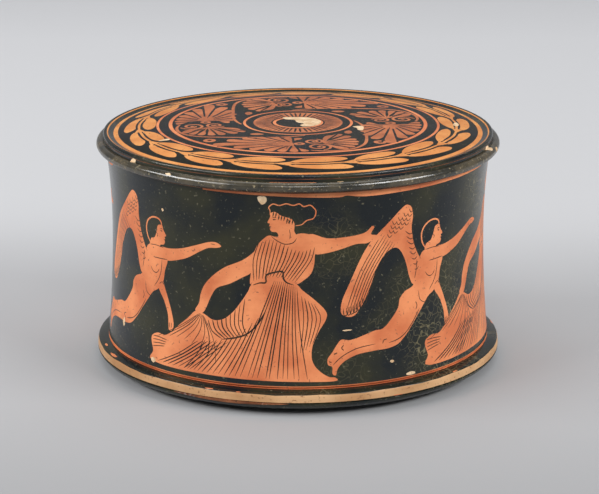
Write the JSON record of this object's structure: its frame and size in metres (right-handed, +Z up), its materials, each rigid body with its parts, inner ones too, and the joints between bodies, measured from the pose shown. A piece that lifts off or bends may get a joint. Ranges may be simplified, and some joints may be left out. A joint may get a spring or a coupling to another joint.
{
  "type": "pyxis",
  "caption": "Low round clay box with a spreading foot flange, and a tall slip-over lid with a concave figured wall, moulded rim and flat ornamented top.",
  "frame": {"origin": "on the vessel's axis, in the plane that the foot ring stands on", "axes": "+Z up along the axis of revolution; -Y towards the viewer of the figured side"},
  "size_m": [0.15, 0.15, 0.0885],
  "materials": {
    "lid_clay": "black gloss slip with orange reserved figures, ornament and lines",
    "box_clay": "black gloss slip outside and inside, with a reserved band round the flange, inner wall and underside in plain clay"
  },
  "bodies": {
    "box": {"box": "box_clay"},
    "lid": {"lid": "lid_clay"}
  },
  "joints": [
    {"name": "lid_lift", "type": "slide", "parent": "box", "child": "lid", "axis": [0, 0, 1], "range_m": [0, 0.1]}
  ]
}
